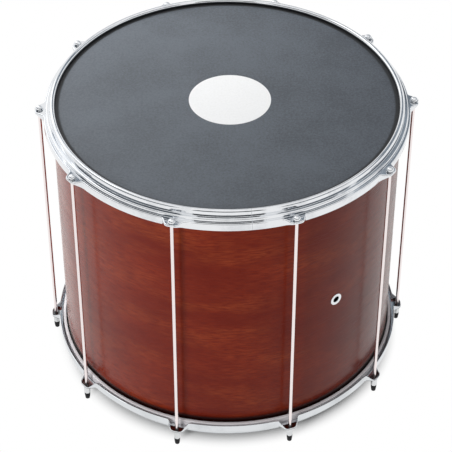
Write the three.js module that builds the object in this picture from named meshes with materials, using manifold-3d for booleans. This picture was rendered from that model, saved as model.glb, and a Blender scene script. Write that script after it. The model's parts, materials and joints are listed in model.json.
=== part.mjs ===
import * as THREE from 'three';
import { mergeVertices } from 'three/addons/utils/BufferGeometryUtils.js';
import Module from 'manifold-3d';

// A wooden surdo on ten rubber feet. Lengths are millimetres, +Z is up, and the
// origin is on the floor under the middle of the drum. Azimuth 0 faces -Y, and
// azimuths grow towards +X.

// Shell of bent plywood
const shellRadius = 304.8;
const shellDepth = 508;
const shellWall = 8;
const edgeRound = 1.5;
const edgeLand = 1.2;

// Gaps between pieces that seat on each other, and between pieces that slide
const seatGap = 0.3;
const collarGap = 1;
const hoopGap = 1;

// Skins, each a round sheet whose collar is pulled down over the shell
const skinThickness = 1;
const collarDepth = 19;
const collarRound = 1.2;

// Flesh hoops that hold the edge of each skin
const hoopWidth = 5.5;
const hoopHeight = 17.5;

// Pressed steel rims: a rolled lip, a wall, a step that bears on the flesh hoop,
// a second wall, a flange with ten ears, and a skirt. Heights are measured from
// the bearing edge of the shell.
const rimSheet = 1.8;
const lipRise = 10;
const lipRollRadius = 3.9;
const seatDrop = 4;
const earFaceDrop = 9;
const flangeReach = 4.6;
const bendRadius = 1.4;
const skirtDepth = 15;
const earTipSkirtDepth = 3.2;
const earBaseWidth = 38;
const rodStandOff = 7.3;
const earMargin = 8;

// Tension rods with mushroom heads, and the washers under them
const rodCount = 10;
const rodRadius = 3;
const rodPointChamfer = 0.8;
const rodHoleGap = 0.5;
const headRadius = 6.4;
const headRim = 1;
const headHeight = 5.2;
const washerRadius = 7.6;
const washerThickness = 1.5;

// Foot nuts, turned to tune the drum, and the rubber feet pressed onto them
const nutAcrossFlats = 10;
const nutHeight = 18.5;
const nutChamfer = 0.9;
const nutFloor = 1.5;
const threadGap = 0.6;
const rodEngagement = 10.5;
const spigotRadius = 3.2;
const spigotLength = 6;
const socketGap = 0.4;
const footHeight = 14.5;
const footTopRadius = 5.3;
const footWaistRadius = 4.9;
const footTreadRadius = 3.6;
const footTreadRound = 1.1;

// Air vent, a little above the middle: an eyelet rolled over a washer inside the shell
const ventRise = 6;
const ventBore = 12;
const ventTubeWall = 1;
const ventTubeGap = 0.5;
const ventFlangeRadius = 11.6;
const ventFlangeThickness = 1.5;
const ventFlangeBevel = 0.8;
const ventWasherRadius = 11.5;
const ventWasherThickness = 1;
const ventRollRadius = 9.6;
const ventRollThickness = 0.8;

// How finely the round forms are divided
const ringFacets = 50;
const rodFacets = 8;
const smallFacets = 10;
const holeFacets = 12;
const ventFacets = 16;
const nutSides = 6;
const rimFacetsBetweenEars = 4;
const lipRollSteps = 3;
const skirtCorners = 3;

// Sizes that follow from those above
const cutOverrun = 2;
const sector = (2 * Math.PI) / rodCount;
const collarInnerRadius = shellRadius + seatGap;
const collarRadius = collarInnerRadius + skinThickness;
const hoopInnerRadius = collarRadius + collarGap;
const hoopRadius = hoopInnerRadius + hoopWidth;
const lipWallRadius = collarRadius + collarGap + rimSheet / 2;
const hoopWallRadius = hoopRadius + hoopGap + rimSheet / 2;
const skirtMidRadius = hoopWallRadius + flangeReach;
const skirtRadius = skirtMidRadius + rimSheet / 2;
const rodCircleRadius = skirtRadius + rodStandOff;
const earTipMidRadius = rodCircleRadius + earMargin - rimSheet / 2;
const rodHoleRadius = rodRadius + rodHoleGap;
const earFaceHeight = footHeight + seatGap + nutHeight + seatGap;
const shellBottom = earFaceHeight - earFaceDrop;
const shellTop = shellBottom + shellDepth;
const washerHeight = shellTop - earFaceDrop + seatGap;
const headSeatHeight = washerHeight + washerThickness + seatGap;
const nutTop = footHeight + seatGap + nutHeight;
const rodEndHeight = nutTop - rodEngagement;
const ventAzimuth = sector;
const ventHeight = shellBottom + shellDepth / 2 + ventRise;

// Each ear swells out of the skirt: shares of half its base width, and of its reach
const earWidthShares = [1, 0.76, 0.38];
const earReachShares = [0, 0.5, 1];

const wasm = await Module();
wasm.setup();

const chrome = new THREE.MeshStandardMaterial({ color: 0xdfe3e6, roughness: 0.08, metalness: 1 });
const wood = new THREE.MeshStandardMaterial({ color: 0x6a2a1c, roughness: 0.32, metalness: 0 });
const skinCloth = new THREE.MeshStandardMaterial({ color: 0x3d4249, roughness: 0.55, metalness: 0 });
const aluminium = new THREE.MeshStandardMaterial({ color: 0xb9bcbf, roughness: 0.35, metalness: 1 });
const rubber = new THREE.MeshStandardMaterial({ color: 0x17181a, roughness: 0.75, metalness: 0 });

const drum = new THREE.Group();

// A closed mesh as a solid that can be joined and cut
function toSolid(geometry) {
  const bare = geometry.clone();
  bare.deleteAttribute('normal');
  bare.deleteAttribute('uv');
  const merged = mergeVertices(bare);
  const corners = merged.index.array;
  const kept = [];
  for (let i = 0; i < corners.length; i += 3) {
    const [a, b, c] = corners.slice(i, i + 3);
    if (a !== b && b !== c && c !== a) kept.push(a, b, c);
  }
  return new wasm.Manifold(new wasm.Mesh({
    numProp: 3,
    vertProperties: Float32Array.from(merged.attributes.position.array),
    triVerts: Uint32Array.from(kept),
  }));
}

function fromSolid(solid) {
  const mesh = solid.getMesh();
  const geometry = new THREE.BufferGeometry();
  geometry.setAttribute('position', new THREE.BufferAttribute(mesh.vertProperties, 3));
  geometry.setIndex(new THREE.BufferAttribute(mesh.triVerts, 1));
  geometry.computeVertexNormals();
  return geometry;
}

// A profile of [radius, height] points turned round the Z axis. It runs outwards
// along the underside and back inwards along the top.
function turned(profile, facets, start = 0) {
  const points = profile.map(([radius, height]) => new THREE.Vector2(radius, height));
  const geometry = new THREE.LatheGeometry(points, facets, start);
  geometry.rotateX(Math.PI / 2);
  return geometry;
}

// Rings start half a facet round, so that the vent sits on the middle of a facet
function turnedRing(profile) {
  return turned([...profile, profile[0]], ringFacets, Math.PI / ringFacets);
}

function cylinder(radius, bottom, top, facets) {
  return turned([[0, bottom], [radius, bottom], [radius, top], [0, top]], facets);
}

// The place at a radius and an azimuth, seen from above
function onPlan(radius, azimuth) {
  return new THREE.Vector2(radius * Math.sin(azimuth), -radius * Math.cos(azimuth));
}

function named(name, geometry, material) {
  const mesh = new THREE.Mesh(geometry, material);
  mesh.name = name;
  return mesh;
}

// Both sides of a bent sheet of even thickness, as one closed outline
function sheetOutline(centreline, thickness) {
  const inner = [];
  const outer = [];
  centreline.forEach((point, i) => {
    const before = centreline[Math.max(i - 1, 0)];
    const after = centreline[Math.min(i + 1, centreline.length - 1)];
    const into = point.clone().sub(i > 0 ? before : point).normalize();
    const out = after.clone().sub(i < centreline.length - 1 ? point : after).normalize();
    const along = i === 0 ? out : into;
    const normal = new THREE.Vector2(-along.y, along.x);
    const mitre = into.clone().add(out).normalize();
    const side = new THREE.Vector2(-mitre.y, mitre.x);
    side.multiplyScalar(thickness / 2 / side.dot(normal));
    outer.push(point.clone().add(side));
    inner.push(point.clone().sub(side));
  });
  return [...inner, ...outer.reverse()];
}

function skirtLineAt(reachShare) {
  return THREE.MathUtils.lerp(skirtMidRadius, earTipMidRadius, reachShare);
}

// The rim's sheet from its lip to the free edge of its skirt, where an ear has
// come out by a share of its reach
function rimOutline(reachShare) {
  const skirtLine = skirtLineAt(reachShare);
  const depth = THREE.MathUtils.lerp(skirtDepth, earTipSkirtDepth, reachShare);
  const seatLine = rimSheet / 2 - seatDrop;
  const flangeLine = -earFaceDrop - rimSheet / 2;
  const rollHeight = lipRise - rimSheet / 2 - lipRollRadius;
  const centreline = [];
  for (let i = 0; i <= lipRollSteps; i += 1) {
    const turn = Math.PI * (1 - i / lipRollSteps);
    centreline.push(new THREE.Vector2(
      lipWallRadius - lipRollRadius + lipRollRadius * Math.cos(turn),
      rollHeight + lipRollRadius * Math.sin(turn),
    ));
  }
  centreline.push(
    new THREE.Vector2(lipWallRadius, seatLine),
    new THREE.Vector2(hoopWallRadius, seatLine),
    new THREE.Vector2(hoopWallRadius, flangeLine),
    new THREE.Vector2(skirtLine - bendRadius, flangeLine),
    new THREE.Vector2(skirtLine, flangeLine - bendRadius),
    new THREE.Vector2(skirtLine, -earFaceDrop - depth),
  );
  return sheetOutline(centreline, rimSheet);
}

function rodAzimuth(index) {
  return sector * (index + 1 / 2);
}

// Azimuths round the rim with the share that the ear has come out at each
function rimStations() {
  const halfEar = Math.asin(earBaseWidth / 2 / skirtRadius);
  const stations = [];
  for (let ear = 0; ear < rodCount; ear += 1) {
    const centre = rodAzimuth(ear);
    earWidthShares.forEach((share, i) => {
      stations.push([centre - halfEar * share, earReachShares[i]]);
    });
    [...earWidthShares].reverse().forEach((share, i) => {
      stations.push([centre + halfEar * share, earReachShares[earReachShares.length - 1 - i]]);
    });
    const between = (sector - 2 * halfEar) / rimFacetsBetweenEars;
    for (let step = 1; step < rimFacetsBetweenEars; step += 1) {
      stations.push([centre + halfEar + between * step, 0]);
    }
  }
  return stations;
}

// The way that the skirt faces at each corner of its line on plan, as long as the
// mitre needs for a step of one outwards
function skirtFacings(line) {
  return line.map((point, i) => {
    const into = point.clone().sub(line.at(i - 1)).normalize();
    const out = line[(i + 1) % line.length].clone().sub(point).normalize();
    const along = into.clone().add(out).normalize();
    const facing = new THREE.Vector2(along.y, -along.x);
    return facing.divideScalar(along.dot(out));
  });
}

// The rim is lofted round the drum through its outline at each station. Its skirt
// and the bend above it step out the way that the skirt faces, all else radially.
function rimBlank() {
  const stations = rimStations();
  const line = stations.map(([azimuth, share]) => onPlan(skirtLineAt(share), azimuth));
  const facings = skirtFacings(line);
  const positions = [];
  const corners = [];
  let around = 0;
  stations.forEach(([azimuth, reachShare], i) => {
    const outline = rimOutline(reachShare);
    around = outline.length;
    outline.forEach((point, j) => {
      const fromEdge = Math.abs(j + 1 / 2 - around / 2);
      const outwards = facings[i].clone().multiplyScalar(point.x - skirtLineAt(reachShare));
      const place = fromEdge < skirtCorners ? outwards.add(line[i]) : onPlan(point.x, azimuth);
      positions.push(place.x, place.y, point.y);
    });
  });
  for (let i = 0; i < stations.length; i += 1) {
    const here = i * around;
    const next = ((i + 1) % stations.length) * around;
    for (let j = 0; j < around; j += 1) {
      const k = (j + 1) % around;
      corners.push(here + j, next + j, next + k, here + j, next + k, here + k);
    }
  }
  const geometry = new THREE.BufferGeometry();
  geometry.setAttribute('position', new THREE.Float32BufferAttribute(positions, 3));
  geometry.setIndex(corners);
  return geometry;
}

function rimGeometry() {
  let rim = toSolid(rimBlank());
  const holeBottom = -earFaceDrop - rimSheet - cutOverrun;
  for (let i = 0; i < rodCount; i += 1) {
    const drill = cylinder(rodHoleRadius, holeBottom, cutOverrun - earFaceDrop, holeFacets);
    drill.translate(0, -rodCircleRadius, 0);
    drill.rotateZ(rodAzimuth(i));
    rim = rim.subtract(toSolid(drill));
  }
  return fromSolid(rim);
}

// The bearing edges are bevelled at 45 degrees inside, with a narrow flat land
// and a small round outside
function shellGeometry() {
  const inside = shellRadius - shellWall;
  const landInside = shellRadius - edgeRound - edgeLand;
  const bevel = landInside - inside;
  const blank = turnedRing([
    [shellRadius - edgeRound, shellBottom],
    [shellRadius, shellBottom + edgeRound],
    [shellRadius, shellTop - edgeRound],
    [shellRadius - edgeRound, shellTop],
    [landInside, shellTop],
    [inside, shellTop - bevel],
    [inside, shellBottom + bevel],
    [landInside, shellBottom],
  ]);
  const drill = cylinder(
    ventBore / 2 + ventTubeWall + ventTubeGap, -shellWall - cutOverrun, cutOverrun, ventFacets,
  );
  drill.rotateX(Math.PI / 2);
  drill.translate(0, -shellRadius, ventHeight);
  drill.rotateZ(ventAzimuth);
  return fromSolid(toSolid(blank).subtract(toSolid(drill)));
}

// The skin, from the bearing edge: a flat sheet with its collar pulled down
function skinGeometry() {
  const face = seatGap + skinThickness;
  return turned([
    [0, seatGap],
    [collarInnerRadius, seatGap],
    [collarInnerRadius, -collarDepth],
    [collarRadius, -collarDepth],
    [collarRadius, face - collarRound],
    [collarRadius - collarRound, face],
    [0, face],
  ], ringFacets, Math.PI / ringFacets);
}

function fleshHoopGeometry() {
  const top = -seatDrop - seatGap;
  return turnedRing([
    [hoopInnerRadius, top - hoopHeight],
    [hoopRadius, top - hoopHeight],
    [hoopRadius, top],
    [hoopInnerRadius, top],
  ]);
}

// A tension rod, from the underside of its head
function rodGeometry() {
  const end = rodEndHeight - headSeatHeight;
  const crown = headHeight - headRim;
  const profile = [
    [0, end],
    [rodRadius - rodPointChamfer, end],
    [rodRadius, end + rodPointChamfer],
    [rodRadius, 0],
    [headRadius, 0],
    [headRadius, headRim],
  ];
  for (const turn of [Math.PI / 6, Math.PI / 3]) {
    profile.push([headRadius * Math.cos(turn), headRim + crown * Math.sin(turn)]);
  }
  profile.push([0, headHeight]);
  return turned(profile, rodFacets);
}

function washerGeometry() {
  return turned([
    [rodHoleRadius, 0],
    [washerRadius, 0],
    [washerRadius, washerThickness],
    [rodHoleRadius, washerThickness],
    [rodHoleRadius, 0],
  ], smallFacets);
}

// A foot nut, from its lower face: a long hexagon with a blind bore for the rod
// and a spigot for the rubber foot
function nutGeometry() {
  const corner = nutAcrossFlats / 2 / Math.cos(Math.PI / nutSides);
  const hexagon = turned([
    [0, 0],
    [corner - nutChamfer, 0],
    [corner, nutChamfer],
    [corner, nutHeight - nutChamfer],
    [corner - nutChamfer, nutHeight],
    [0, nutHeight],
  ], nutSides);
  const spigot = cylinder(spigotRadius, -spigotLength, nutFloor / 2, smallFacets);
  const bore = cylinder(rodRadius + threadGap, nutFloor, nutHeight + cutOverrun, smallFacets);
  return fromSolid(toSolid(hexagon).add(toSolid(spigot)).subtract(toSolid(bore)));
}

// A rubber foot, from the floor: a tapered plug with a socket for the spigot
function footGeometry() {
  const socketFloor = footHeight + seatGap - spigotLength - socketGap;
  const socketRadius = spigotRadius + socketGap;
  return turned([
    [0, 0],
    [footTreadRadius, 0],
    [footTreadRadius + footTreadRound / 2, footTreadRound],
    [footWaistRadius, footHeight / 2],
    [footTopRadius, footHeight],
    [socketRadius, footHeight],
    [socketRadius, socketFloor],
    [0, socketFloor],
  ], smallFacets);
}

// The eyelet, from the face of the shell outwards
function ventEyeletGeometry() {
  const tubeRadius = ventBore / 2 + ventTubeWall;
  const face = seatGap + ventFlangeThickness;
  const rollTop = -shellWall - seatGap - ventWasherThickness - seatGap;
  return turned([
    [ventBore / 2, rollTop - ventRollThickness],
    [ventRollRadius, rollTop - ventRollThickness],
    [ventRollRadius, rollTop],
    [tubeRadius, rollTop],
    [tubeRadius, seatGap],
    [ventFlangeRadius, seatGap],
    [ventFlangeRadius - ventFlangeBevel / 2, face - ventFlangeBevel],
    [ventFlangeRadius - 2 * ventFlangeBevel, face],
    [ventBore / 2, face],
    [ventBore / 2, rollTop - ventRollThickness],
  ], ventFacets);
}

function ventWasherGeometry() {
  const top = -shellWall - seatGap;
  const holeRadius = ventBore / 2 + ventTubeWall + ventTubeGap;
  return turned([
    [holeRadius, top - ventWasherThickness],
    [ventWasherRadius, top - ventWasherThickness],
    [ventWasherRadius, top],
    [holeRadius, top],
    [holeRadius, top - ventWasherThickness],
  ], ventFacets);
}

// Shell and its vent
drum.add(named('shell', shellGeometry(), wood));
const ventStation = new THREE.Group();
ventStation.rotation.z = ventAzimuth;
for (const [name, geometry] of [
  ['vent_eyelet', ventEyeletGeometry()],
  ['vent_washer', ventWasherGeometry()],
]) {
  const mesh = named(name, geometry, chrome);
  mesh.position.set(0, -shellRadius * Math.cos(Math.PI / ringFacets), ventHeight);
  mesh.rotation.x = Math.PI / 2;
  ventStation.add(mesh);
}
drum.add(ventStation);

// Both ends carry the same skin, flesh hoop and rim, the lower ones upside down
const rimShape = rimGeometry();
for (const [end, height, tilt] of [['top', shellTop, 0], ['bottom', shellBottom, Math.PI]]) {
  const stack = new THREE.Group();
  stack.position.z = height;
  stack.rotation.x = tilt;
  stack.add(named(`${end}_skin`, skinGeometry(), skinCloth));
  stack.add(named(`${end}_flesh_hoop`, fleshHoopGeometry(), aluminium));
  stack.add(named(`${end}_rim`, rimShape, chrome));
  drum.add(stack);
}

// Rods, washers, foot nuts and rubber feet stand on the rod circle
for (let i = 0; i < rodCount; i += 1) {
  const number = String(i + 1).padStart(2, '0');
  const station = new THREE.Group();
  station.rotation.z = rodAzimuth(i);
  for (const [name, height, geometry, material] of [
    ['tension_rod', headSeatHeight, rodGeometry(), chrome],
    ['rod_washer', washerHeight, washerGeometry(), chrome],
    ['foot_nut', footHeight + seatGap, nutGeometry(), chrome],
    ['rubber_foot', 0, footGeometry(), rubber],
  ]) {
    const mesh = named(`${name}_${number}`, geometry, material);
    mesh.position.set(0, -rodCircleRadius, height);
    station.add(mesh);
  }
  drum.add(station);
}

export default drum;
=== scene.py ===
"""Visual model of a wooden surdo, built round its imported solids.

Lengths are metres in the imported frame: +Z is up, the floor is z = 0, azimuth 0
faces -Y, and azimuths grow towards +X.
"""

from __future__ import annotations

import json
import logging
import math
from collections.abc import Mapping, Sequence
from dataclasses import dataclass
from enum import Enum
from typing import Union

import bpy
import numpy as np
from mathutils import Matrix, Vector

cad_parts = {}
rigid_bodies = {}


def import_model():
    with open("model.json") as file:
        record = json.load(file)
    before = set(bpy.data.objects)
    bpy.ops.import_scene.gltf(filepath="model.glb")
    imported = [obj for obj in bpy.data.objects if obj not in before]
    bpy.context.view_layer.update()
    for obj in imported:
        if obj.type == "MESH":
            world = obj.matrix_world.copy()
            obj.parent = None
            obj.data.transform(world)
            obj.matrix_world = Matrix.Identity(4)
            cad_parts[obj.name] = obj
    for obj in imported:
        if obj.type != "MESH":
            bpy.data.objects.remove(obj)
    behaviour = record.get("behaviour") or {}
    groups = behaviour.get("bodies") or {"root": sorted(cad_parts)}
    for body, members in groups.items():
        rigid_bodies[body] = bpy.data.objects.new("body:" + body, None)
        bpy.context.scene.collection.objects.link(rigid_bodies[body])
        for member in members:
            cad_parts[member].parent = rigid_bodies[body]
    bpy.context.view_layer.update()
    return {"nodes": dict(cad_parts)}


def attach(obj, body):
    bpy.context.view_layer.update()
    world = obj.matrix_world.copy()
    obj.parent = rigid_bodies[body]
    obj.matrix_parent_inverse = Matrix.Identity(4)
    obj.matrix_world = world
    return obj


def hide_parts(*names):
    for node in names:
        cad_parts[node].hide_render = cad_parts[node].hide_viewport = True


LOG = logging.getLogger("surdo")
Socket = bpy.types.NodeSocket
Material = bpy.types.Material
Mesh = bpy.types.Mesh
Pair = tuple[float, float]
Triple = tuple[float, float, float]
Colour = Triple
Tone = Union[Socket, Colour]
Feed = Union[Socket, float, int, tuple, None]
Feeds = Union[Mapping[Union[int, str], Feed], None]
Inputs = dict[str, object]
Profile = list[Pair]

ROD_COUNT = 10
SECTOR = 2 * math.pi / ROD_COUNT
ROD_AZIMUTHS = tuple(SECTOR * (i + 0.5) for i in range(ROD_COUNT))
ROD_NUMBERS = tuple(f"{i + 1:02d}" for i in range(ROD_COUNT))
SHELL_RADIUS = 0.3048
SHELL_BOTTOM = 0.0246
SHELL_TOP = 0.5326
ROD_CIRCLE = 0.3273
SMOOTH_FACETS = 320
EASING = {True: "SMOOTHSTEP", False: "LINEAR"}
WHITE = (1.0, 1.0, 1.0, 1.0)
FREE_EDGE = 1.0
DRILL_LENGTH = 0.04
PRISM_LENGTH = 0.08


class Body(str, Enum):
    """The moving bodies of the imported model, apart from the ten feet."""

    LOWER = "lower_rim"
    SHELL = "shell_and_skins"
    UPPER = "upper_rim_and_rods"


class End(Enum):
    """The two ends of the drum, which carry the same skin, hoop and rim."""

    UPPER = "upper"
    LOWER = "lower"

    @property
    def rim_body(self) -> str:
        """The body that this end's rim and flesh hoop ride on."""
        return Body.UPPER.value if self is End.UPPER else Body.LOWER.value

    @property
    def node_prefix(self) -> str:
        """How this end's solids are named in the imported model."""
        return "top" if self is End.UPPER else "bottom"

    @property
    def placing(self) -> Matrix:
        """Where this end is.

        Returns:
            What takes a shape drawn from the bearing edge, rim upwards, to this end.
        """
        if self is End.UPPER:
            return Matrix.Translation((0, 0, SHELL_TOP))
        return Matrix.Translation((0, 0, SHELL_BOTTOM)) @ Matrix.Rotation(math.pi, 4, "X")


def rgba(colour: Tone) -> Feed:
    """A colour with full cover, or the output that feeds one."""
    return colour if isinstance(colour, Socket) else (*colour, 1.0)


def put(name: str, data: bpy.types.ID) -> bpy.types.Object:
    """Puts a new object into the scene.

    Args:
        name: The object's name.
        data: Its mesh, lamp or camera.

    Returns:
        The object.
    """
    made = bpy.data.objects.new(name, data)
    bpy.context.scene.collection.objects.link(made)
    return made


class Graph:
    """Adds and links the nodes of one node tree."""

    def __init__(self, tree: bpy.types.NodeTree) -> None:
        """Takes the tree that the nodes go into."""
        self.tree = tree

    def feed(self, socket: Socket, value: Feed) -> None:
        """Links or sets an input.

        Args:
            socket: The input.
            value: An output to link, a plain value, or None to leave it as it is.
        """
        if isinstance(value, Socket):
            self.tree.links.new(value, socket)
        elif value is not None:
            socket.default_value = value

    def add(self, kind: str, feeds: Feeds = None, **settings: object) -> bpy.types.Node:
        """Adds a node.

        Args:
            kind: The node's type.
            feeds: What goes into its inputs, by name or place.
            settings: The node's own properties.

        Returns:
            The new node.
        """
        node = self.tree.nodes.new(kind)
        for name, value in settings.items():
            setattr(node, name, value)
        for key, value in (feeds or {}).items():
            shown = [s for s in node.inputs if s.enabled and s.name == key]
            self.feed(node.inputs[key] if isinstance(key, int) else shown[0], value)
        return node

    def math(self, operation: str, *values: Feed) -> Socket:
        """The result of a Math node on numbers or outputs."""
        return self.add("ShaderNodeMath", dict(enumerate(values)), operation=operation).outputs[0]

    def times(self, one: Feed, other: Feed) -> Socket:
        """One number times another."""
        return self.math("MULTIPLY", one, other)

    def plus(self, one: Feed, other: Feed) -> Socket:
        """One number plus another."""
        return self.math("ADD", one, other)

    def minus(self, one: Feed, other: Feed) -> Socket:
        """One number less another."""
        return self.math("SUBTRACT", one, other)

    def join(self, x: Feed, y: Feed, z: Feed) -> Socket:
        """A vector of three numbers."""
        return self.add("ShaderNodeCombineXYZ", {0: x, 1: y, 2: z}).outputs[0]

    def parts(self, vector: Socket) -> tuple[Socket, Socket, Socket]:
        """The three numbers of a vector."""
        outputs = self.add("ShaderNodeSeparateXYZ", {0: vector}).outputs
        return outputs[0], outputs[1], outputs[2]

    def swing(self, azimuth: Feed, radius: Feed, height: Feed) -> Socket:
        """The place at an azimuth, a radius and a height."""
        x, y = (self.times(self.math(wave, azimuth), radius) for wave in ("SINE", "COSINE"))
        return self.join(x, self.times(y, -1.0), height)

    def noise(self, place: Socket, scale: float, detail: float = 3, rough: float = 0.5) -> Socket:
        """The value of a Noise Texture read at a place."""
        feeds = {"Vector": place, "Scale": scale, "Detail": detail, "Roughness": rough}
        return self.add("ShaderNodeTexNoise", feeds).outputs[0]

    def remap(self, value: Socket, source: tuple, target: tuple = (0, 1), soft: bool = True) -> Socket:
        """A number taken from one range to another and clamped, with eased ends if soft."""
        feeds = dict(enumerate((value, *source, *target)))
        return self.add("ShaderNodeMapRange", feeds, interpolation_type=EASING[soft]).outputs[0]

    def blend(self, share: Feed, one: Tone, other: Tone) -> Socket:
        """One colour with a share of another mixed in."""
        feeds = {0: share, 6: rgba(one), 7: rgba(other)}
        return self.add("ShaderNodeMix", feeds, data_type="RGBA").outputs[2]

    def bump(self, height: Socket, distance: float, under: Socket | None = None) -> Socket:
        """A normal raised by a distance where the height is 1, laid over another normal."""
        feeds = {"Height": height, "Distance": distance, "Strength": 1.0, "Normal": under}
        return self.add("ShaderNodeBump", feeds).outputs[0]

    def seen(self) -> Socket:
        """Tells what is looked at from what gives light.

        Returns:
            1 for a ray from the camera, a mirror or a clear surface, and 0 for others.
        """
        path = self.add("ShaderNodeLightPath").outputs
        seen = self.math("MAXIMUM", path["Is Camera Ray"], path["Is Glossy Ray"])
        return self.math("MAXIMUM", seen, path["Is Transmission Ray"])


class Paint(Graph):
    """The node tree of one material, with the coordinates that the finishes read."""

    def __init__(self, name: str) -> None:
        """Makes the material and its shader.

        Args:
            name: The material's name.
        """
        self.material = bpy.data.materials.new(name)
        self.material.use_nodes = True
        super().__init__(self.material.node_tree)
        self.tree.nodes.clear()
        self.shader = self.add("ShaderNodeBsdfPrincipled")
        self.add("ShaderNodeOutputMaterial", {0: self.shader.outputs[0]})
        self.place = self.add("ShaderNodeTexCoord").outputs["Object"]
        self.x, self.y, self.z = self.parts(self.place)

    def azimuth(self) -> Socket:
        """The azimuth round the drum's axis, in radians, with its seam at the back."""
        return self.math("ARCTAN2", self.x, self.times(self.y, -1.0))

    def radius(self) -> Socket:
        """The distance from the drum's axis."""
        flat = self.join(self.x, self.y, 0.0)
        return self.add("ShaderNodeVectorMath", {0: flat}, operation="LENGTH").outputs["Value"]

    def finish(self, **feeds: Feed) -> Material:
        """Feeds the shader.

        Args:
            feeds: What goes into its inputs, with underscores for spaces.

        Returns:
            The finished material.
        """
        for name, value in feeds.items():
            self.feed(self.shader.inputs[name.replace("_", " ")], value)
        return self.material


@dataclass(frozen=True)
class Chrome:
    """Chrome plate on steel, clouded a little and rippled by the pressing."""

    name: str
    bright: Colour = (0.8, 0.815, 0.835)
    dull: Colour = (0.68, 0.695, 0.72)
    roughness: Pair = (0.035, 0.1)
    ripple: float = 0.00005
    ripple_scale: float = 34.0
    cloud_scale: float = 26.0
    speck_scale: float = 420.0
    weld: Colour = (0.5, 0.52, 0.55)
    weld_sides: Pair = (0.0028, 0.0009)
    weld_azimuth: float | None = None
    # Painted reflection: a warm pink for the chrome below a height, standing in for the warm cast of what the
    # rods mirror.
    shank: Colour | None = None
    shank_top: float = 0.524
    # Painted shade: a grey laid on the ear plates below a height and beyond a radius, standing in for the
    # dark reflections round the rods.
    grime: Colour | None = None
    grime_top: float = 0.0
    grime_from: float = 0.3203

    def material(self) -> Material:
        """Builds the material.

        Returns:
            The material.
        """
        paint = Paint(self.name)
        cloud = paint.noise(paint.place, self.cloud_scale, 5, 0.62)
        speck = paint.noise(paint.place, self.speck_scale, 2)
        colour = paint.blend(paint.remap(cloud, (0.46, 0.74)), self.bright, self.dull)
        # Painted reflection: below the given height the chrome turns warm pink.
        if self.shank is not None:
            below = paint.remap(paint.z, (self.shank_top + 0.0005, self.shank_top - 0.0005))
            colour = paint.blend(below, colour, self.shank)
        # Painted shade on the ear plates, below the given height and beyond the given radius.
        if self.grime is not None:
            below = paint.remap(paint.z, (self.grime_top + 0.0003, self.grime_top))
            beyond = paint.remap(paint.radius(), (self.grime_from, self.grime_from + 0.0012))
            colour = paint.blend(paint.times(below, beyond), colour, self.grime)
        rough = paint.remap(paint.plus(cloud, paint.times(speck, 0.3)), (0.45, 0.95), self.roughness)
        normal = paint.bump(paint.noise(paint.place, self.ripple_scale, 2), self.ripple)
        if self.weld_azimuth is not None:
            off = paint.math("ABSOLUTE", paint.minus(paint.azimuth(), self.weld_azimuth))
            weld = paint.remap(off, self.weld_sides)
            colour = paint.blend(paint.times(weld, 0.5), colour, self.weld)
            rough = paint.math("MAXIMUM", rough, paint.times(weld, 0.2))
            normal = paint.bump(weld, 0.00008, normal)
        return paint.finish(Base_Color=colour, Metallic=1.0, Roughness=rough, Normal=normal)


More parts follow.
